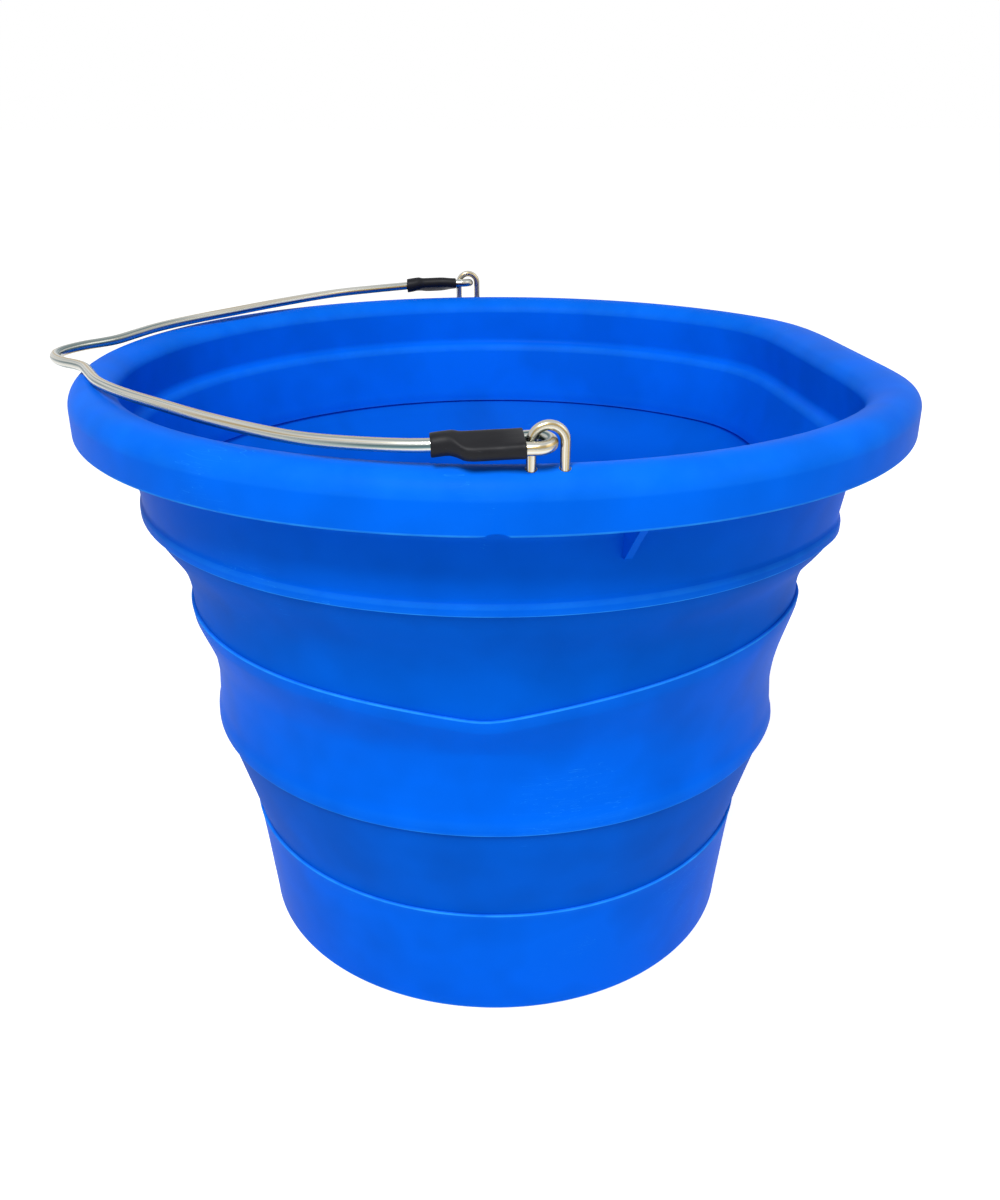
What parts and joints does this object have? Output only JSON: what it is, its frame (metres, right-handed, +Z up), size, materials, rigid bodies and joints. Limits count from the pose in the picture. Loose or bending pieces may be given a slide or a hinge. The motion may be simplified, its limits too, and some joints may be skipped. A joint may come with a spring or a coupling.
{
  "type": "collapsible bucket",
  "caption": "Collapsible flat-backed bucket: rigid rings joined by soft fold walls, with a wire bail that swings in rim staples.",
  "frame": {"origin": "centre of the base cup's flat underside, on the rings' common axis", "axes": "+Z up along the rings' axis, +X out of the flat back, +Y through the left staple"},
  "size_m": [0.3428, 0.3403, 0.2659],
  "materials": {
    "rigid_plastic": "satin moulded polypropylene, bright blue",
    "soft_plastic": "matte thermoplastic elastomer, bright blue",
    "plated_steel": "drawn wire, zinc plated and yellow passivated, shiny",
    "shrink_sleeve": "black heat-shrink tube, semi-matte"
  },
  "bodies": {
    "base": {"base_cup": "rigid_plastic", "lower_fold_wall": "soft_plastic"},
    "middle": {"middle_ring": "rigid_plastic", "upper_fold_wall": "soft_plastic"},
    "rim": {"rim_collar": "rigid_plastic", "left_staple": "plated_steel", "right_staple": "plated_steel"},
    "bail": {"bail_wire": "plated_steel", "left_sleeve": "shrink_sleeve", "right_sleeve": "shrink_sleeve"}
  },
  "joints": [
    {"name": "lower_fold", "type": "slide", "parent": "base", "child": "middle", "axis": [0, 0, -1], "range_m": [0, 0.096], "deforming": ["lower_fold_wall"]},
    {"name": "upper_fold", "type": "slide", "parent": "middle", "child": "rim", "axis": [0, 0, -1], "range_m": [0, 0.076], "deforming": ["upper_fold_wall"]},
    {"name": "bail_swing", "type": "hinge", "parent": "rim", "child": "bail", "pos_m": [0, 0, 0.2595], "axis": [0, 1, 0], "range_deg": [0, 176]}
  ]
}
